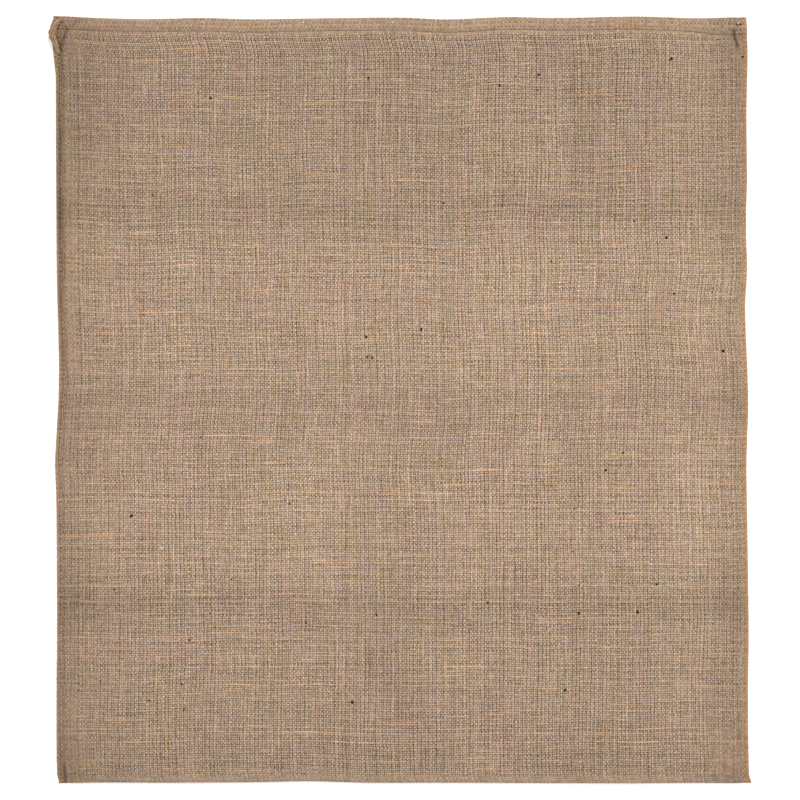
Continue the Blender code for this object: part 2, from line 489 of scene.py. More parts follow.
# ---- slubs: columns: middle across, middle along, the way it runs, length ----
PALE_SLUBS = (
    (-0.077, 0.434, "across", 0.105),
    (0.158, 0.487, "across", 0.075),
    (0.168, 0.457, "across", 0.120),
    (-0.355, 0.480, "along", 0.038),
    (-0.349, 0.355, "along", 0.130),
    (-0.051, 0.348, "along", 0.115),
    (0.225, 0.457, "along", 0.130),
    (0.339, 0.312, "along", 0.100),
    (-0.249, 0.323, "along", 0.026),
    (0.380, -0.338, "across", 0.060),
    (-0.150, 0.020, "along", 0.050),
    (0.100, -0.200, "along", 0.045),
)
ORANGE_SLUBS = (
    (0.278, 0.441, "across", 0.100),
    (0.312, 0.428, "across", 0.052),
    (-0.323, 0.369, "across", 0.062),
    (-0.067, 0.170, "across", 0.060),
    (-0.105, 0.205, "across", 0.040),
    (0.030, 0.140, "across", 0.026),
    (-0.342, -0.476, "along", 0.095),
    (0.0733, 0.311, "along", 0.026),
    (0.431, 0.457, "along", 0.024),
    (0.368, 0.142, "along", 0.080),
    (0.377, -0.383, "along", 0.027),
    (0.297, -0.486, "along", 0.037),
    (-0.200, -0.190, "across", 0.040),
    (0.210, -0.120, "across", 0.034),
    (0.420, 0.020, "across", 0.030),
    (-0.410, -0.360, "across", 0.034),
    (-0.040, 0.095, "along", 0.030),
)
SLUB_RADIUS = 0.00092
SLUB_SWAY = 0.0030
SLUB_SWAY_LENGTH = 0.022
SLUB_STEP = 0.005
SLUB_SINK = 0.0009
SLUB_SINK_SHARE = 0.18
SLUB_CLEAR = 0.00030
# strewn slubs: how many, then the shortest and the longest
PALE_STREWN = (90, (0.010, 0.045))
ORANGE_STREWN = (60, (0.008, 0.030))
# columns: across, along, size
DARK_BITS = (
    (0.4855, 0.5440, 0.0030),
    (0.4905, 0.5452, 0.0026),
    (-0.277, 0.438, 0.0039),
    (-0.049, 0.467, 0.0034),
    (0.141, 0.456, 0.0039),
    (0.198, 0.472, 0.0034),
    (0.196, 0.450, 0.0030),
    (0.390, 0.495, 0.0039),
    (0.383, 0.236, 0.0036),
    (0.336, 0.260, 0.0034),
    (0.465, 0.072, 0.0039),
    (-0.392, -0.167, 0.0046),
    (-0.308, -0.347, 0.0039),
    (-0.319, -0.411, 0.0036),
    (-0.316, -0.448, 0.0034),
    (-0.072, -0.437, 0.0046),
    (0.236, -0.419, 0.0039),
    (0.341, -0.306, 0.0039),
    (0.295, -0.101, 0.0039),
    (0.320, -0.076, 0.0034),
    (0.369, -0.266, 0.0036),
    (-0.052, 0.092, 0.0036),
    (0.4940, 0.4985, 0.0034),
    (-0.247, -0.259, 0.0038),
    (0.124, -0.2925, 0.0038),
    (0.256, -0.308, 0.0038),
    (-0.037, -0.310, 0.0032),
    (0.060, 0.286, 0.0034),
    (0.028, 0.103, 0.0034),
    (-0.050, 0.063, 0.0032),
    (-0.043, 0.062, 0.0034),
)
PALE_BITS = (
    (-0.451, 0.547, 0.0030),
    (-0.288, 0.547, 0.0027),
    (-0.143, 0.547, 0.0032),
    (-0.014, 0.547, 0.0035),
    (0.146, 0.547, 0.0030),
    (0.488, 0.547, 0.0032),
    (0.000, 0.517, 0.0035),
    (-0.348, -0.214, 0.0046),
    (-0.504, 0.541, 0.0032),
    (-0.507, 0.534, 0.0030),
)
BIT_FLAT = 0.42
BIT_CLEAR = 0.0004
BIT_ROUGH = 0.10
# strewn bits: how many, then the smallest and the largest
BARK_STREWN = (60, (0.0014, 0.0027))
LINT_STREWN = (26, (0.0010, 0.0019))

# ---- loose fibres: lengths are the shortest and the longest ----
EDGE_FIBRES = 1300
EDGE_LENGTHS = (0.0015, 0.0048)
EDGE_INSET = 0.001
EDGE_SHARE = 0.98
FACE_FIBRES = 900
FACE_LENGTHS = (0.002, 0.009)
FIBRE_RISE = 0.0008
FACE_RISE = 0.0007
FIBRE_RADIUS = 0.00013


def smooth(t):
    t = min(max(t, 0.0), 1.0)
    return t * t * (3 - 2 * t)


def slope_at(table, index):
    low = table[max(index - 1, 0)]
    high = table[min(index + 1, len(table) - 1)]
    return (high[1] - low[1]) / (high[0] - low[0])


def read_table(table, place):
    """The second column at this place of the first, on a smooth curve through the rows."""
    if place <= table[0][0]:
        return table[0][1]
    for index in range(len(table) - 1):
        start, low = table[index]
        end, high = table[index + 1]
        if place <= end:
            span = end - start
            t = (place - start) / span
            rise = slope_at(table, index) * span * t * (1 - t) * (1 - t)
            fall = slope_at(table, index + 1) * span * t * t * (t - 1)
            return low + (high - low) * smooth(t) + rise + fall
    return table[-1][1]


def wander(place, seed):
    """A slow drift between about -1 and 1."""
    return noise.noise(Vector((place * 4.0, seed, 0.0))) * 1.6


def faded(place, start, end):
    """1 between the ends of a crease, falling softly to 0 past them."""
    return smooth((place - start) / CREASE_FADE + 0.5) * smooth((end - place) / CREASE_FADE + 0.5)


def crease(off, place, row, seed):
    """How far one crease sinks the cloth, at this offset from its line and place along it."""
    _, start, end, depth, half_width, waver = row
    off = (off - waver * wander(place, seed)) / half_width
    strength = 0.85 + 0.35 * wander(place + 2.0, seed + 7.0)
    return depth * strength * math.exp(-off * off) * faded(place, start, end)


def relief(x, y):
    """How far the front stands above or below its loft, from creases and slack."""
    height = SWELL * noise.noise(Vector((x / SWELL_ACROSS, y / SWELL_ALONG, 3.1)))
    for number, row in enumerate(CROSS_CREASES):
        height -= crease(y - row[0], x, row, number + 0.5)
    for number, row in enumerate(LONG_CREASES):
        height -= crease(x - row[0], y, row, number + 20.5)
    height += RUMPLE * noise.noise(Vector((x / RUMPLE_ACROSS, y / RUMPLE_ALONG, 8.4)))
    return height


def off_line(x, y, start, end):
    """Distance from the stretch between two places."""
    here, first = Vector((x, y)), Vector(start)
    run = Vector(end) - first
    share = min(max((here - first).dot(run) / run.length_squared, 0.0), 1.0)
    return (here - first - run * share).length


def corner_folds(x, y):
    sunk = 0.0
    for start_x, start_y, end_x, end_y, depth, half_width in CORNER_FOLDS:
        off = off_line(x, y, (start_x, start_y), (end_x, end_y)) / half_width
        sunk += depth * math.exp(-off * off)
    return sunk


def left_edge(y):
    return -HALF_WIDE - read_table(LEFT_EDGE, y)


def right_edge(y):
    return HALF_WIDE + read_table(RIGHT_EDGE, y)


def mouth_edge(x):
    return HALF_LONG + read_table(MOUTH_EDGE, x)


def foot_edge(x):
    return -HALF_LONG - read_table(FOOT_EDGE, x)


def back_height(x, y):
    """The back is flat down, and lifts by one thickness over its own turned hem."""
    return (CLOTH + FOLD_GAP) * smooth((y - (mouth_edge(x) - HEM_DEEP - HEM_EASE)) / HEM_EASE)


def front_height(x, y):
    climbs = (
        read_table(LEFT_CLIMB, x - left_edge(y)),
        read_table(RIGHT_CLIMB, right_edge(y) - x),
        read_table(FOOT_CLIMB, y - foot_edge(x)),
    )
    share = math.prod(climb / LOFT for climb in climbs)
    edge = max(min(min(climbs), LOFT * share), LOWEST_FRONT)
    slack = smooth((min(climbs) / LOFT - STIFF_SHARE) / (1 - STIFF_SHARE))
    lift = back_height(x, y) * (1 - smooth(edge / LOFT))
    return max(edge + lift + slack * relief(x, y) - corner_folds(x, y), LOWEST_FRONT)


def graded(step):
    return GRADE_FIRST * step + GRADE_MORE * step * step


# the whip stitches of each side: which way is out, its edge, the bite, how proud they stand
WHIP = {
    "left": (-1, left_edge, 0.0052, 0.0003),
    "right": (1, right_edge, 0.0060, 0.0007),
}

COLUMNS = 2 * GRADE_COUNT + MIDDLE_COLUMNS
ROWS_UP = 2 * GRADE_COUNT + BODY_ROWS


def across(column, y):
    """The x of a column of the cloth."""
    left, right = left_edge(y), right_edge(y)
    if column <= GRADE_COUNT:
        return left + graded(column)
    if column >= COLUMNS - GRADE_COUNT:
        return right - graded(COLUMNS - column)
    start, end = left + graded(GRADE_COUNT), right - graded(GRADE_COUNT)
    return start + (end - start) * (column - GRADE_COUNT) / MIDDLE_COLUMNS


def along(row, x, rows):
    """The y of a row between the foot, 0, and the mouth, rows."""
    foot, mouth = foot_edge(x), mouth_edge(x)
    if row <= GRADE_COUNT:
        return foot + graded(row)
    if row >= rows - GRADE_COUNT:
        return mouth - graded(rows - row)
    start, end = foot + graded(GRADE_COUNT), mouth - graded(GRADE_COUNT)
    return start + (end - start) * (row - GRADE_COUNT) / (rows - 2 * GRADE_COUNT)


def row_plan():
    """Every row of the cut cloth from the front hem's free end to the back hem's: its layer,
    its row up from the foot, its inset from that row, and its rise out of the panel."""
    back_rows = 2 * GRADE_COUNT + BACK_ROWS
    radius = FOLD_GAP / 2
    hem = []
    for step in range(HEM_FLAT_STEPS):
        rise = FOLD_GAP * (0.4 + 0.6 * min(step / HEM_THIN_ROWS, 1.0))
        hem.append((HEM_DEEP * (1 - step / HEM_FLAT_STEPS), rise))
    for step in range(HEM_TURN_STEPS):
        turn = math.pi * (1 - step / HEM_TURN_STEPS)
        hem.append((-radius * math.sin(turn), radius * (1 - math.cos(turn))))
    plan = [("front", ROWS_UP, ROWS_UP, inset, rise) for inset, rise in hem]
    plan += [("front", row, ROWS_UP, 0.0, 0.0) for row in range(ROWS_UP, -1, -1)]
    plan += [("foot", step / FOOT_TURN_STEPS, 0, 0.0, 0.0) for step in range(1, FOOT_TURN_STEPS)]
    plan += [("back", row, back_rows, 0.0, 0.0) for row in range(back_rows + 1)]
    plan += [("back", back_rows, back_rows, inset, rise) for inset, rise in reversed(hem)]
    return plan


def cloth_point(column, entry):
    """The outside face of the cloth at a column and a row of the plan, before it is centred."""
    layer, row, rows, inset, rise = entry
    x = across(column, 0.0)
    for _ in range(3):
        reach = read_table(HEM_REACH, x) if layer == "front" and inset > 0 else 1.0
        y = foot_edge(x) if layer == "foot" else along(row, x, rows) - inset * reach
        x = across(column, y)
    if layer == "front":
        return Vector((x, y, front_height(x, y) + rise))
    if layer == "back":
        return Vector((x, y, back_height(x, y) - rise + back_edge_lift(x, y)))
    half = front_height(x, y) / 2
    turn = math.pi * row
    return Vector((x, y - half * FOOT_ROUND * math.sin(turn), half * (1 + math.cos(turn))))


def back_edge_lift(x, y):
    """The back rises a little at its sewn sides, where the twine passes under it."""
    inset = min(x - left_edge(y), right_edge(y) - x)
    return BACK_LIFT * (1 - smooth(inset / BACK_LIFT_REACH))


def away_from(x, y, row):
    """Squared distance from the middle of a patch, in its own half sizes."""
    middle_x, middle_y, half_x, half_y, _ = row
    return ((x - middle_x) / half_x) ** 2 + ((y - middle_y) / half_y) ** 2


def tone_at(x, y):
    """Steps of tone at a place of the front: painted light and shade of the old creases, the sloping edges,
    the left groove and the corner folds, with fading and handling.
    """
    tone = read_table(TONE_ALONG, y + TONE_WAVER * wander(x, 61.5)) + read_table(TONE_ACROSS, x)
    for patch in TONE_PATCHES:
        tone += patch[-1] * math.exp(-away_from(x, y, patch))
    tone += CLOUD_TONE * noise.noise(Vector((x / CLOUD_ACROSS, y / CLOUD_ALONG, 5.2)))
    middle = left_edge(y) + GROOVE_INSET + GROOVE_WAVER * wander(3.0 * y, 71.5)
    groove = (x - middle) / GROOVE_HALF
    # painted shade in the groove beside the left rim
    tone += GROOVE_PAINTED_SHADE * read_table(LEFT_GROOVE, y) * math.exp(-groove * groove)
    return tone + RIM_TONE * rim_at(x, y) - FOLD_SHADE * corner_folds(x, y)


def rim_at(x, y):
    """1 on the worn rolled rim of either side, falling to 0 inside it."""
    left = smooth((x - left_edge(y) - LEFT_RIM) / RIM_SOFT)
    right = smooth((right_edge(y) - x - RIGHT_RIM) / RIM_SOFT)
    return 1 - min(left, right)


def tightness_at(x, y):
    """How far the weave closes up: beside the left groove, near the sides and the foot, just
    below the hem, where this paints light against the shadow line of the hem's edge, and at the corners."""
    slope = (x - left_edge(y) - SLOPE_INSET) / SLOPE_HALF
    beside = SLOPE_DENSE * read_table(LEFT_GROOVE, y) * math.exp(-slope * slope)
    below_hem = mouth_edge(x) - HEM_DEEP * read_table(HEM_REACH, x) - y
    to_side = min(x - left_edge(y), right_edge(y) - x)
    near_side = SIDE_DENSE * (1 - smooth(to_side / SIDE_REACH))
    near_foot = FOOT_DENSE * (1 - smooth((y - foot_edge(x)) / FOOT_REACH))
    near_hem = BELOW_HEM_DENSE * (1 - smooth(below_hem / BELOW_HEM_REACH))
    closed = max(beside, near_side, near_foot, near_hem)
    for corner in TIGHT_CORNERS:
        closed = max(closed, corner[-1] * math.exp(-away_from(x, y, corner) ** 2))
    return closed


def shade_and_wear_at(x, y, layer):
    """The painted shade and wear of one place: its brightness, which paints the light and shade of the
    creases, edges and folds along with fading, how far it is the worn rim, and how tight it is.
    """
    if layer == "front":
        tone, tight = tone_at(x, y), tightness_at(x, y)
    else:
        tone, tight = BACK_SIDE_SHARE * read_table(TONE_ACROSS, x) + BACK_TONE, 0.0
    return (max(1 + TONE_STEP * tone, DARKEST_SHARE), rim_at(x, y), tight, 1.0)


def new_piece(name, shape, material):
    mesh = bpy.data.meshes.new(name)
    shape.to_mesh(mesh)
    shape.free()
    mesh.shade_smooth()
    mesh.materials.append(material)
    piece = bpy.data.objects.new(name, mesh)
    bpy.context.scene.collection.objects.link(piece)
    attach(piece, "root")
    return piece


def sack_sheet(material):
    """One length of cloth: front hem, front, foot fold, back, back hem."""
    plan = row_plan()
    cloth = bmesh.new()
    rows = len(plan) - 1
    unit = Matrix.Translation((COLUMNS / 2, rows / 2, 0)) @ Matrix.Diagonal((COLUMNS, rows, 1, 1))
    bmesh.ops.create_grid(cloth, x_segments=COLUMNS, y_segments=rows, size=0.5, matrix=unit)
    steps = [(round(vert.co.x), round(vert.co.y)) for vert in cloth.verts]
    for vert, (column, row) in zip(cloth.verts, steps):
        vert.co = cloth_point(column, plan[row]) + MIDDLE
    # each vertex keeps its brightness, which carries painted light and shade, its rim share and its
    # tightness
    shade_and_wear = cloth.verts.layers.float_color.new("shade_and_wear")
    for vert, (column, row) in zip(cloth.verts, steps):
        place = vert.co - MIDDLE
        vert[shade_and_wear] = shade_and_wear_at(place.x, place.y, plan[row][0])
    spine = {}
    for vert, (column, row) in zip(cloth.verts, steps):
        if column == COLUMNS // 2:
            spine[row] = vert.co.copy()
    length = [0.0]
    for row in range(rows):
        length.append(length[-1] + (spine[row + 1] - spine[row]).length)
    width = [across(column, 0.0) - left_edge(0.0) for column in range(COLUMNS + 1)]
    cloth.verts.index_update()
    places = cloth.loops.layers.uv.new("cut_cloth")
    for face in cloth.faces:
        for loop in face.loops:
            column, row = steps[loop.vert.index]
            loop[places].uv = (width[column] / CLOTH_SPAN, length[row] / CLOTH_SPAN)
    cloth.normal_update()
    top = MIDDLE + Vector((0, 0, LOFT))
    middle_face = min(cloth.faces, key=lambda face: (face.calc_center_median() - top).length)
    if middle_face.normal.z < 0:
        bmesh.ops.reverse_faces(cloth, faces=cloth.faces)
    piece = new_piece("sack_hessian", cloth, material)
    full = piece.vertex_groups.new(name="full_thickness")
    for index, (column, row) in enumerate(steps):
        full.add([index], min(row / HEM_THIN_ROWS, 1.0), "REPLACE")
    wall = piece.modifiers.new("cloth_thickness", "SOLIDIFY")
    wall.thickness = CLOTH
    wall.vertex_group = full.name
    wall.thickness_vertex_group = HEM_THINNEST
    wall.offset = -1.0
    wall.use_even_offset = True
    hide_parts("sack_cloth")
    return piece


# ---- yarn, twine and fibres: round strands through the points of their paths ----


def strands(name, paths, radius, bevel_steps, material):
    """One mesh of closed tubes, each through (place, share of the radius) points."""
    curve = bpy.data.curves.new(name, "CURVE")
    curve.dimensions = "3D"
    curve.bevel_depth = radius
    curve.bevel_resolution = bevel_steps
    curve.use_fill_caps = True
    for path in paths:
        spline = curve.splines.new("POLY")
        spline.points.add(len(path) - 1)
        for point, (place, share) in zip(spline.points, path):
            point.co = (*place, 1.0)
            point.radius = share
    guide = bpy.data.objects.new(name, curve)
    bpy.context.scene.collection.objects.link(guide)
    mesh = bpy.data.meshes.new_from_object(guide.evaluated_get(bpy.context.evaluated_depsgraph_get()))
    bpy.data.objects.remove(guide)
    bpy.data.curves.remove(curve)
    shape = bmesh.new()
    shape.from_mesh(mesh)
    bpy.data.meshes.remove(mesh)
    bmesh.ops.remove_doubles(shape, verts=shape.verts, dist=0.000002)
    bmesh.ops.recalc_face_normals(shape, faces=shape.faces)
    return new_piece(name, shape, material)


def smooth_path(points, cuts):
    """Points on a smooth curve through these, cuts to each span."""
    out = []
    for index in range(len(points) - 1):
        before = points[max(index - 1, 0)]
        start, end = points[index], points[index + 1]
        after = points[min(index + 2, len(points) - 1)]
        for cut in range(cuts):
            t = cut / cuts
            bend = (2 * before - 5 * start + 4 * end - after) * t * t
            twist = (3 * start - before - 3 * end + after) * t * t * t
            out.append(0.5 * (2 * start + (end - before) * t + bend + twist))
    out.append(points[-1])
    return out


def swollen(path, swell, seed):
    """The path with a share of the radius at each point, thick and thin, and fine at its ends."""
    last = len(path) - 1
    made = []
    for index, place in enumerate(path):
        share = 1 + swell * noise.noise(place * 160.0 + Vector((seed, 0, 0)))
        near_end = min(index, last - index) / max(last * 0.25, 1.0)
        made.append((place, share * (0.30 + 0.70 * smooth(near_end))))
    return made


def on_front(x, y, clear=0.0):
    """A place on top of the front, or of the hem where that lies over it."""
    reach = HEM_DEEP * read_table(HEM_REACH, x)
    hem = smooth((y - (mouth_edge(x) - reach)) / 0.002)
    return Vector((x, y, front_height(x, y) + hem * (FOLD_GAP + CLOTH) + clear)) + MIDDLE


def whip_path(side, rng):
    """The seam twine's path up one side: over the rim in front, round the edge, and back under."""
    path = []
    sign, edge, bite, proud = WHIP[side]
    # columns: share of the pitch, inset as a share of the bite, side of the cloth, clearance
    turn = (
        (0.00, 1.00, "front", -0.0004),
        (0.10, 0.78, "front", 0.3),
        (0.24, 0.45, "front", 0.8),
        (0.38, 0.22, "front", 0.7),
        (0.48, 0.10, "edge", 0.0),
        (0.58, 0.20, "back", 0.0),
        (0.76, 0.50, "back", 0.0),
        (0.92, 0.95, "back", 0.0),
    )
    count = int((2 * HALF_LONG - WHIP_SHORT) / STITCH_PITCH)
    for stitch in range(count):
        place = stitch + rng.uniform(-WHIP_UNEVEN, WHIP_UNEVEN)
        start = -HALF_LONG + WHIP_START + place * STITCH_PITCH
        reach = bite * rng.uniform(0.80, 1.15)
        lift = proud * rng.uniform(0.6, 1.1)
        for share, inset, run, clearance in turn:
            y = start + share * STITCH_PITCH
            x = edge(y) - sign * inset * reach
            if run == "front":
                z = front_height(x, y) + clearance * lift
            elif run == "edge":
                z = front_height(x, y) / 2 + EDGE_CLEAR
            else:
                z = TWINE_RADIUS + FLOOR_CLEAR
            path.append(Vector((x, y, z)) + MIDDLE)
    return path


def seam_twine(side, material, rng):
    path = smooth_path(whip_path(side, rng), 2)
    thick = TWINE_SHARE[side]
    points = []
    for place in path:
        fall = read_table(thick, place.y)
        points.append((place, fall * (1 + 0.25 * noise.noise(place * 90.0))))
    return strands(f"{side}_seam_twine", [points], TWINE_RADIUS, 2, material)


def corner_knot(material):
    """The twisted ear at the mouth's left corner, where the rolled edge and twine ends gather."""
    core = smooth_path([Vector(place) + MIDDLE for place in KNOT_CORE], 5)
    paths = []
    for ply in range(KNOT_PLIES):
        path = []
        for index, place in enumerate(core):
            share = index / (len(core) - 1)
            turn = 2 * math.pi * (share * KNOT_TURNS + ply / KNOT_PLIES)
            wide = KNOT_WIDE * (0.35 + 0.65 * math.sin(math.pi * min(share * 1.1 + 0.12, 1.0)))
            aside, above = math.cos(turn), math.sin(turn)
            path.append(place + Vector((aside, KNOT_SLANT * aside, KNOT_TALL * above)) * wide)
        paths.append(swollen(path, 0.35, ply * 3.1))
    for number, (start, end) in enumerate(KNOT_ENDS):
        first, last = Vector(start) + MIDDLE, Vector(end) + MIDDLE
        middle = (first + last) / 2 + Vector(KNOT_END_BOW)
        thin = swollen(smooth_path([first, middle, last], 4), 0.3, number + 20.0)
        paths.append([(place, share * KNOT_END_SHARE) for place, share in thin])
    return strands("mouth_corner_knot", paths, KNOT_RADIUS, 2, material)


def slub_path(x, y, direction, length, rng):
    """A thick stretch of one yarn, lying in the weave: its ends sink into it."""
    steps = max(int(length / SLUB_STEP), 3)
    seed = rng.uniform(0, 60)
    path = []
    for step in range(steps + 1):
        share = step / steps
        off = (share - 0.5) * length
        sway = SLUB_SWAY * noise.noise(Vector((off / SLUB_SWAY_LENGTH, seed, 0.5)))
        here = (x + off, y + sway) if direction == "across" else (x + sway, y + off)
        sink = SLUB_SINK * (1 - smooth(min(share, 1 - share) / SLUB_SINK_SHARE))
        path.append(on_front(*here, SLUB_CLEAR - sink))
    return path


def slubs(name, placed, strewn, material, rng):
    """The stated slubs, then small ones strewn over the front."""
    count, lengths = strewn
    paths = []
    for number, (x, y, direction, length) in enumerate(placed):
        paths.append(swollen(slub_path(x, y, direction, length, rng), 0.5, number + 0.5))
    for number in range(count):
        x, y = rng.uniform(-0.47, 0.47), rng.uniform(-0.53, 0.52)
        direction = rng.choice(("across", "along"))
        thin = swollen(slub_path(x, y, direction, rng.uniform(*lengths), rng), 0.5, number + 60.5)
        paths.append([(place, share * rng.uniform(0.55, 0.95)) for place, share in thin])
    return strands(name, paths, SLUB_RADIUS, 1, material)


def specks(name, placed, strewn, material, rng):
    """Small bits on the cloth: the stated ones, then strewn ones. Rows: across, along, size."""
    count, size = strewn
    rows = list(placed)
    for _ in range(count):
        rows.append((rng.uniform(-0.48, 0.48), rng.uniform(-0.54, 0.53), rng.uniform(*size)))
    shape = bmesh.new()
    for x, y, wide in rows:
        turn = Matrix.Rotation(rng.uniform(0, math.pi), 4, "Z")
        stretch = Matrix.Diagonal((rng.uniform(0.9, 1.5), rng.uniform(0.8, 1.1), BIT_FLAT, 1))
        pose = Matrix.Translation(on_front(x, y, BIT_CLEAR)) @ turn @ stretch
        made = bmesh.ops.create_icosphere(shape, subdivisions=1, radius=wide / 2, matrix=pose)
        for vert in made["verts"]:
            vert.co += Vector([rng.uniform(-BIT_ROUGH, BIT_ROUGH) * wide for _ in range(3)])
    return new_piece(name, shape, material)


def fibre(start, heading, length, rise, rng):
    """Three points of a fine hair that leaves the cloth, bends and droops."""
    bend = rng.uniform(-0.9, 0.9)
    path = [start]
    for share, lift in ((0.5, rise), (1.0, rise * 0.7)):
        turn = heading + bend * share
        step = Vector((math.cos(turn), math.sin(turn), 0.0)) * length * share
        path.append(start + step + Vector((0, 0, lift)))
    return path


def loose_fibres(material, rng):
    """Hairs standing off the sack's outline and lying loose on its front."""
    paths = []
    for _ in range(EDGE_FIBRES):
        share, edge = rng.uniform(-0.5, 0.5), rng.choice(("left", "right", "mouth", "foot"))
        if edge in ("left", "right"):
            y = share * 2 * HALF_LONG * EDGE_SHARE
            x = left_edge(y) + EDGE_INSET if edge == "left" else right_edge(y) - EDGE_INSET
            heading = math.pi if edge == "left" else 0.0
        else:
            x = share * 2 * HALF_WIDE * EDGE_SHARE
            y = mouth_edge(x) - EDGE_INSET if edge == "mouth" else foot_edge(x) + EDGE_INSET
            heading = math.pi / 2 if edge == "mouth" else -math.pi / 2
        start = Vector((x, y, rng.uniform(0.0010, front_height(x, y)))) + MIDDLE
        turned = heading + rng.uniform(-1.1, 1.1)
        hair = fibre(start, turned, rng.uniform(*EDGE_LENGTHS), rng.uniform(0.0, FIBRE_RISE), rng)
        paths.append([(place, 1.0 - 0.4 * index) for index, place in enumerate(hair)])
    for _ in range(FACE_FIBRES):
        x, y = rng.uniform(-0.485, 0.485), rng.uniform(-0.54, 0.54)
        start = on_front(x, y, -0.0002)
        heading = rng.uniform(0, 2 * math.pi)
        hair = fibre(start, heading, rng.uniform(*FACE_LENGTHS), FACE_RISE, rng)
        paths.append([(place, 1.0 - 0.3 * index) for index, place in enumerate(hair)])
    return strands("loose_fibres", paths, FIBRE_RADIUS, 0, material)


# ---- materials ----


class Net:
    """A short way to write a node tree: each call adds a node and gives its output."""

    def __init__(self, tree):
        self.tree = tree

    def put(self, socket, value):
        if isinstance(value, bpy.types.NodeSocket):
            self.tree.links.new(value, socket)
        elif value is not None:
            socket.default_value = value

    def node(self, kind, **settings):
        made = self.tree.nodes.new(kind)
        for name, value in settings.items():
            setattr(made, name, value)
        return made

    def fill(self, made, *values):
        for socket, value in zip(made.inputs, values):
            self.put(socket, value)
        return made.outputs[0]

    def math(self, operation, first, second=None, third=None, clamp=False):
        made = self.node("ShaderNodeMath", operation=operation, use_clamp=clamp)
        return self.fill(made, first, second, third)

    def add(self, first, second, clamp=False):
        return self.math("ADD", first, second, clamp=clamp)

    def less(self, first, second):
        return self.math("SUBTRACT", first, second)

    def times(self, first, second):
        return self.math("MULTIPLY", first, second)

    def scaled(self, value, by, plus, clamp=False):
        return self.math("MULTIPLY_ADD", value, by, plus, clamp)

    def noise(self, vector, scale, detail=2.0, roughness=0.5, kind="2D"):
        made = self.node("ShaderNodeTexNoise", noise_dimensions=kind)
        self.put(made.inputs["Vector"], vector)
        made.inputs["Scale"].default_value = scale
        made.inputs["Detail"].default_value = detail
        made.inputs["Roughness"].default_value = roughness
        return made.outputs["Fac"]

    def vector(self, x, y, z=0.0):
        return self.fill(self.node("ShaderNodeCombineXYZ"), x, y, z)

    def split(self, vector):
        made = self.node("ShaderNodeSeparateXYZ")
        self.put(made.inputs[0], vector)
        return made.outputs[0], made.outputs[1]

    def chance(self, value):
        made = self.node("ShaderNodeTexWhiteNoise", noise_dimensions="1D")
        self.put(made.inputs["W"], value)
        return made.outputs["Value"]

    def mix(self, share, low, high):
        return self.blend("MIX", share, low, high)

    def blend(self, kind, share, low, high):
        made = self.node("ShaderNodeMix", data_type="RGBA", blend_type=kind)
        self.put(made.inputs["Factor"], share)
        self.put(made.inputs["A"], low)
        self.put(made.inputs["B"], high)
        return made.outputs["Result"]

    def grey(self, value):
        return self.fill(self.node("ShaderNodeCombineColor"), value, value, value)

    def ramp(self, value, low, high, start=0.0, end=1.0):
        made = self.node("ShaderNodeMapRange", interpolation_type="SMOOTHSTEP")
        return self.fill(made, value, low, high, start, end)


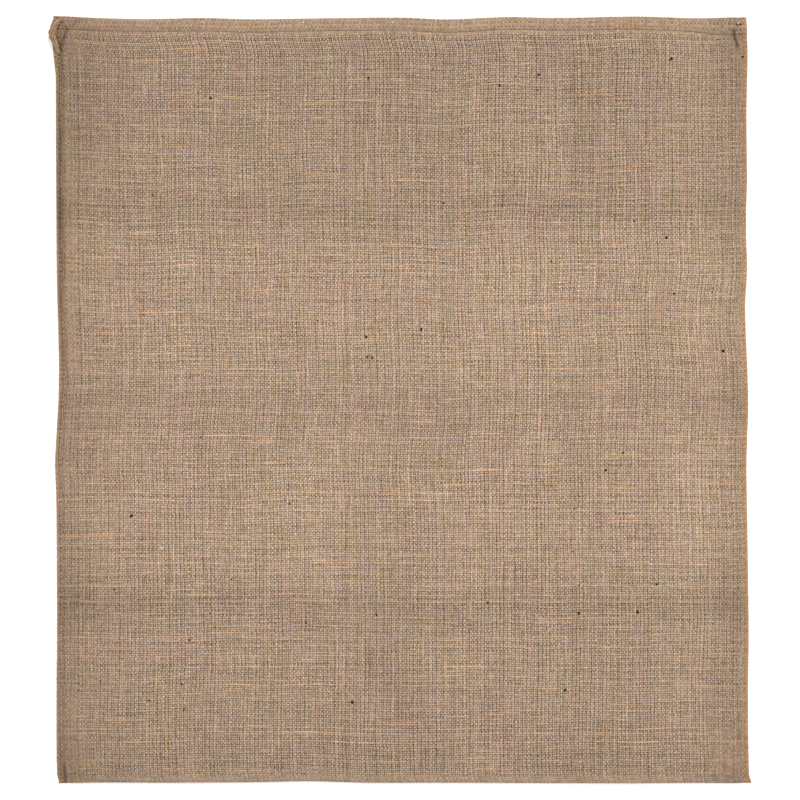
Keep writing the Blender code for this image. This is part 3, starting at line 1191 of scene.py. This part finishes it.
def weave_group():
    """Hessian: warps in pairs along the cloth, wefts across, each yarn of its own colour and
    girth, thick and thin along its run, the holes between them and the low flanks of the yarns
    painted dark as shade. Reads a place on the cloth in metres, and how far the cloth is beaten
    dense there, 0 to 1."""
    tree = bpy.data.node_groups.new("hessian_weave", "ShaderNodeTree")
    tree.interface.new_socket("Place", in_out="INPUT", socket_type="NodeSocketVector")
    tree.interface.new_socket("Dense", in_out="INPUT", socket_type="NodeSocketFloat")
    tree.interface.new_socket("Colour", in_out="OUTPUT", socket_type="NodeSocketColor")
    tree.interface.new_socket("Height", in_out="OUTPUT", socket_type="NodeSocketFloat")
    net = Net(tree)
    group_input = net.node("NodeGroupInput")
    place, dense = group_input.outputs["Place"], group_input.outputs["Dense"]
    u, v = net.split(place)

    def drift(shift, slow_reach, quick_reach):
        moved = net.vector(net.add(u, shift), v)
        slow = net.less(net.noise(moved, SLOW_DRIFT_SCALE, 1.0), 0.5)
        quick = net.less(net.noise(moved, QUICK_DRIFT_SCALE, 1.0), 0.5)
        return net.scaled(quick, quick_reach, net.times(slow, slow_reach))

    warp_count = net.math("DIVIDE", net.add(u, drift(0.0, *WARP_DRIFT)), WARP_PITCH)
    weft_count = net.math("DIVIDE", net.add(v, drift(7.7, *WEFT_DRIFT)), WEFT_PITCH)
    warp, weft = net.math("FLOOR", warp_count), net.math("FLOOR", weft_count)
    warp_odd = net.math("FLOORED_MODULO", warp, 2.0)
    weft_odd = net.math("FLOORED_MODULO", weft, 2.0)
    pair_shift = net.scaled(warp_odd, 2 * PAIR_SHIFT, -PAIR_SHIFT)

    def yarn(number, along_it, seed):
        """Random numbers of one yarn: its own, set against its neighbour's, one that changes
        along its run, its hue, and how far it lies to one side."""
        number = net.add(number, seed)
        own = net.less(net.chance(number), net.chance(net.less(number, 1.0)))
        lane = net.scaled(number, LANE_STEP, seed)
        run = net.noise(net.vector(lane, net.times(along_it, RUN_CHANGES)), 1.0, 3.0, 0.65)
        hue_place = net.vector(net.add(lane, HUE_LANE), net.times(along_it, HUE_CHANGES))
        hue = net.noise(hue_place, 1.0, 2.0, 0.6)
        strayed = net.times(net.less(net.chance(net.add(number, 0.5)), 0.5), STRAY)
        strayed = net.scaled(net.less(run, 0.5), STRAY_ALONG, strayed)
        return net.scaled(own, 0.5, 0.5), run, hue, strayed

    warp_own, warp_run, warp_hue, warp_strayed = yarn(warp, v, 0.0)
    weft_own, weft_run, weft_hue, weft_strayed = yarn(weft, u, WEFT_SEED)
    near_left = net.times(net.ramp(u, *LEFT_ORANGE_REACH), LEFT_ORANGE)
    near_foot = net.times(net.ramp(v, *FOOT_ORANGE_REACH), FOOT_ORANGE)
    weft_hue = net.add(weft_hue, net.math("MAXIMUM", near_left, near_foot))
    warp_proud = net.ramp(warp_hue, *WARP_PROUD)
    weft_proud = net.ramp(weft_hue, *WEFT_PROUD)
    off_warp = net.add(net.less(net.math("FRACT", warp_count), 0.5), pair_shift)
    off_warp = net.add(off_warp, warp_strayed)
    off_weft = net.add(net.less(net.math("FRACT", weft_count), 0.5), weft_strayed)
    crossing = net.node("ShaderNodeTexWhiteNoise", noise_dimensions="2D")
    net.put(crossing.inputs["Vector"], net.vector(warp, weft))
    bit = crossing.outputs["Value"]

    def girth(base, own, run):
        steady = net.scaled(own, GIRTH_OWN, base - GIRTH_OWN / 2)
        wide = net.add(steady, net.scaled(run, GIRTH_RUN, -GIRTH_RUN / 2))
        return net.scaled(dense, GIRTH_DENSE, wide)

    def crown(offset, width):
        ratio = net.math("DIVIDE", net.times(offset, 2.0), width)
        fall = net.less(1.0, net.times(ratio, ratio))
        return net.math("SQRT", net.math("MAXIMUM", fall, 0.0))

    def wave(count, odd, sign):
        swing = net.math("SINE", net.times(count, math.pi))
        return net.times(swing, net.scaled(odd, -2.0 * sign, sign))

    warp_over = net.scaled(wave(weft_count, warp_odd, 1.0), WARP_SWING, WARP_MIDDLE)
    weft_over = net.scaled(wave(warp_count, weft_odd, -1.0), WEFT_SWING, WEFT_MIDDLE)
    warp_lift = net.scaled(warp_proud, WARP_PROUD_LIFT, warp_over)
    weft_lift = net.scaled(weft_proud, WEFT_PROUD_LIFT, weft_over)
    warp_high = net.times(crown(off_warp, girth(WARP_GIRTH, warp_own, warp_run)), warp_lift)
    weft_high = net.times(crown(off_weft, girth(WEFT_GIRTH, weft_own, weft_run)), weft_lift)
    height = net.math("MAXIMUM", warp_high, weft_high)
    warp_up = net.scaled(net.less(warp_high, weft_high), CROSSING_SHARP, 0.5, clamp=True)

    def tone(own, run, streak, share):
        value = net.scaled(own, TONE_OWN * share, TONE_MIDDLE - TONE_OWN / 2 * share)
        value = net.add(value, net.scaled(run, TONE_RUN * share, -TONE_RUN_MIDDLE * share))
        value = net.add(value, net.scaled(bit, TONE_CROSSING, TONE_LEAST))
        return net.add(value, net.scaled(streak, TONE_STREAK, -TONE_STREAK / 2), clamp=True)

    warp_streak = net.noise(net.vector(net.times(u, STREAK_FINE), net.times(v, STREAK_LONG)), 1.0)
    weft_streak = net.noise(net.vector(net.times(u, STREAK_LONG), net.times(v, STREAK_FINE)), 1.0)
    warp_tone = tone(warp_own, warp_run, warp_streak, WARP_TONE_SHARE)
    weft_tone = tone(weft_own, weft_run, weft_streak, WEFT_TONE_SHARE)

    patch_place = net.vector(net.times(u, PATCH_ACROSS), net.times(v, PATCH_ALONG))
    patch = net.scaled(net.noise(patch_place, 1.0, 3.0, 0.6), PATCH_LEAN, -PATCH_LEAN / 2)

    def tinted(colour, hue, proud, proud_cast):
        """Leans the yarn to olive, to mauve or to orange, run by run and patch by patch."""
        lean = net.scaled(bit, CROSSING_LEAN, net.times(hue, HUE_LEAN))
        lean = net.add(lean, net.times(patch, net.scaled(dense, -DENSE_CALM, 1.0)))
        olive = net.blend("MULTIPLY", net.ramp(lean, *OLIVE_LEAN), colour, OLIVE_CAST)
        mauve = net.blend("MULTIPLY", net.ramp(lean, *MAUVE_LEAN), olive, MAUVE_CAST)
        return net.blend("MULTIPLY", proud, mauve, proud_cast)

    warp_colour = net.mix(warp_tone, WARP_DARK, WARP_LIGHT)
    weft_colour = net.mix(weft_tone, WEFT_DARK, WEFT_LIGHT)
    weft_seen = tinted(weft_colour, weft_hue, weft_proud, ORANGE_CAST)
    warp_seen = tinted(warp_colour, warp_hue, warp_proud, PALE_CAST)
    colour = net.mix(warp_up, weft_seen, warp_seen)
    # painted shade: where the yarns sink low, in the gaps and where they dip under, the colour goes to the
    # near-black hole colour; a dense weave closes this
    uneven = net.scaled(net.noise(place, HOLE_GRAIN, 1.0), HOLE_UNEVEN, height)
    hole_shade_mask = net.ramp(uneven, HOLE_LOW + HOLE_UNEVEN / 2, HOLE_HIGH + HOLE_UNEVEN / 2)
    colour = net.mix(net.scaled(dense, HOLE_CLOSES, hole_shade_mask, clamp=True), HOLE_SHADE, colour)
    colour = net.blend("MULTIPLY", dense, colour, DENSE_CAST)
    out = net.node("NodeGroupOutput")
    tree.links.new(colour, out.inputs["Colour"])
    tree.links.new(height, out.inputs["Height"])
    return tree


def plain_material(name):
    material = bpy.data.materials.new(name)
    material.use_nodes = True
    net = Net(material.node_tree)
    shader = material.node_tree.nodes["Principled BSDF"]
    shader.inputs["Metallic"].default_value = 0.0
    shader.inputs["Specular IOR Level"].default_value = 0.15
    return material, net, shader


def roughened(net, shader, height, strength, distance):
    bump = net.node("ShaderNodeBump")
    bump.inputs["Strength"].default_value = strength
    bump.inputs["Distance"].default_value = distance
    net.put(bump.inputs["Height"], height)
    net.put(shader.inputs["Normal"], bump.outputs["Normal"])


def hessian(weave):
    material, net, shader = plain_material("raw_jute_hessian")
    uv = net.node("ShaderNodeUVMap", uv_map="cut_cloth").outputs["UV"]
    place = net.node("ShaderNodeVectorMath", operation="SCALE")
    net.put(place.inputs[0], uv)
    place.inputs["Scale"].default_value = CLOTH_SPAN
    cloth = net.node("ShaderNodeGroup", node_tree=weave)
    net.put(cloth.inputs["Place"], place.outputs[0])
    _, v = net.split(place.outputs[0])
    shade_and_wear = net.node("ShaderNodeSeparateColor")
    net.put(shade_and_wear.inputs[0], net.node("ShaderNodeAttribute", attribute_name="shade_and_wear").outputs["Color"])
    brightness, rim, tight = shade_and_wear.outputs
    hem = net.ramp(v, HEM_DEEP + HEM_FADE_OUT, HEM_DEEP - HEM_FADE_IN)
    turned = net.math("MAXIMUM", net.times(hem, HEM_DENSE), rim)
    net.put(cloth.inputs["Dense"], net.math("MAXIMUM", turned, tight))
    colour = net.blend("MULTIPLY", hem, cloth.outputs["Colour"], HEM_CAST)
    colour = net.blend("MULTIPLY", rim, colour, RIM_CAST)
    # the brightness multiplied in here paints the light and shade of the creases, edges, groove and corner
    # folds, with fading
    colour = net.blend("MULTIPLY", 1.0, colour, net.grey(brightness))
    net.put(shader.inputs["Base Color"], colour)
    shader.inputs["Roughness"].default_value = 0.95
    shader.inputs["Sheen Weight"].default_value = 0.15
    shader.inputs["Sheen Roughness"].default_value = 0.5
    roughened(net, shader, cloth.outputs["Height"], 0.7, YARN_RELIEF)
    return material


def yarn_material(name, dark, light, twist):
    """Plied yarn: bands of twist round the strand, and a fine grain of fibre."""
    material, net, shader = plain_material(name)
    along_it, round_it = net.split(net.node("ShaderNodeUVMap", uv_map="UVMap").outputs["UV"])
    lay = net.scaled(along_it, twist, net.times(round_it, 2.0))
    ply = net.math("SINE", net.times(lay, 2 * math.pi))
    place = net.node("ShaderNodeTexCoord").outputs["Object"]
    fibre_grain = net.noise(place, 900.0, 2.0, 0.6, "3D")
    patch = net.noise(place, 70.0, 2.0, 0.6, "3D")
    # the bands of the twist darken toward the grooves between the plies: painted shade, over the fibre's
    # own grain and patches
    tone = net.add(net.scaled(ply, 0.20, 0.10), net.times(fibre_grain, 0.40))
    tone = net.scaled(patch, 0.50, tone, clamp=True)
    net.put(shader.inputs["Base Color"], net.mix(tone, dark, light))
    shader.inputs["Roughness"].default_value = 0.9
    roughened(net, shader, net.scaled(ply, 0.5, fibre_grain), 0.8, PLY_RELIEF)
    return material


def bit_material(name, dark, light):
    """Bark, lint and loose hair: an uneven colour with a fine grain."""
    material, net, shader = plain_material(name)
    place = net.node("ShaderNodeTexCoord").outputs["Object"]
    patch = net.noise(place, 300.0, 2.0, 0.6, "3D")
    net.put(shader.inputs["Base Color"], net.mix(net.ramp(patch, 0.3, 0.7), dark, light))
    net.put(shader.inputs["Roughness"], net.ramp(patch, 0.3, 0.7, 0.85, 0.95))
    return material


# ---- the studio ----


def floor():
    shape = bmesh.new()
    down = Matrix.Translation((0, 0, -FLOOR_DOWN))
    bmesh.ops.create_grid(shape, x_segments=1, y_segments=1, size=FLOOR_HALF, matrix=down)
    mesh = bpy.data.meshes.new("floor")
    shape.to_mesh(mesh)
    shape.free()
    material, _, shader = plain_material("pale_floor")
    shader.inputs["Base Color"].default_value = FLOOR_COLOUR
    shader.inputs["Roughness"].default_value = 1.0
    shader.inputs["Specular IOR Level"].default_value = 0.0
    shader.inputs["Emission Color"].default_value = WHITE
    shader.inputs["Emission Strength"].default_value = FLOOR_GLOW
    mesh.materials.append(material)
    made = bpy.data.objects.new("floor", mesh)
    bpy.context.scene.collection.objects.link(made)


def studio():
    world = bpy.data.worlds.new("studio")
    world.use_nodes = True
    sky = world.node_tree.nodes["Background"]
    sky.inputs["Color"].default_value = WHITE
    sky.inputs["Strength"].default_value = WORLD_LIGHT
    bpy.context.scene.world = world
    data = bpy.data.lights.new("key_light", "SUN")
    data.angle = math.radians(KEY_SPREAD)
    data.energy = KEY_POWER
    lamp = bpy.data.objects.new("key_light", data)
    lamp.location = KEY_FROM
    lamp.rotation_euler = (-Vector(KEY_FROM)).to_track_quat("-Z", "Y").to_euler()
    bpy.context.scene.collection.objects.link(lamp)
    bpy.context.scene.view_settings.view_transform = "Standard"


def camera():
    data = bpy.data.cameras.new("camera")
    data.lens = CAMERA_LENS
    data.sensor_width = CAMERA_SENSOR
    made = bpy.data.objects.new("camera", data)
    made.location = CAMERA_AT
    bpy.context.scene.collection.objects.link(made)
    bpy.context.scene.camera = made


def main():
    floor()
    studio()
    camera()
    sack_sheet(hessian(weave_group()))
    twine = yarn_material("seam_twine", *TWINE_COLOURS, TWINE_TWIST)
    for side, seed in (("left", 11), ("right", 12)):
        seam_twine(side, twine, random.Random(seed))
    corner_knot(yarn_material("knot_twine", *KNOT_COLOURS, KNOT_TWIST))
    pale = yarn_material("pale_yarn", *PALE_COLOURS, SLUB_TWIST)
    orange = yarn_material("orange_yarn", *ORANGE_COLOURS, SLUB_TWIST)
    slubs("pale_slubs", PALE_SLUBS, PALE_STREWN, pale, random.Random(21))
    slubs("orange_slubs", ORANGE_SLUBS, ORANGE_STREWN, orange, random.Random(22))
    specks("bark_bits", DARK_BITS, BARK_STREWN, bit_material("jute_bark", *BARK_COLOURS), random.Random(31))
    specks("lint_bits", PALE_BITS, LINT_STREWN, bit_material("pale_lint", *LINT_COLOURS), random.Random(32))
    loose_fibres(bit_material("loose_hair", *HAIR_COLOURS), random.Random(41))


main()
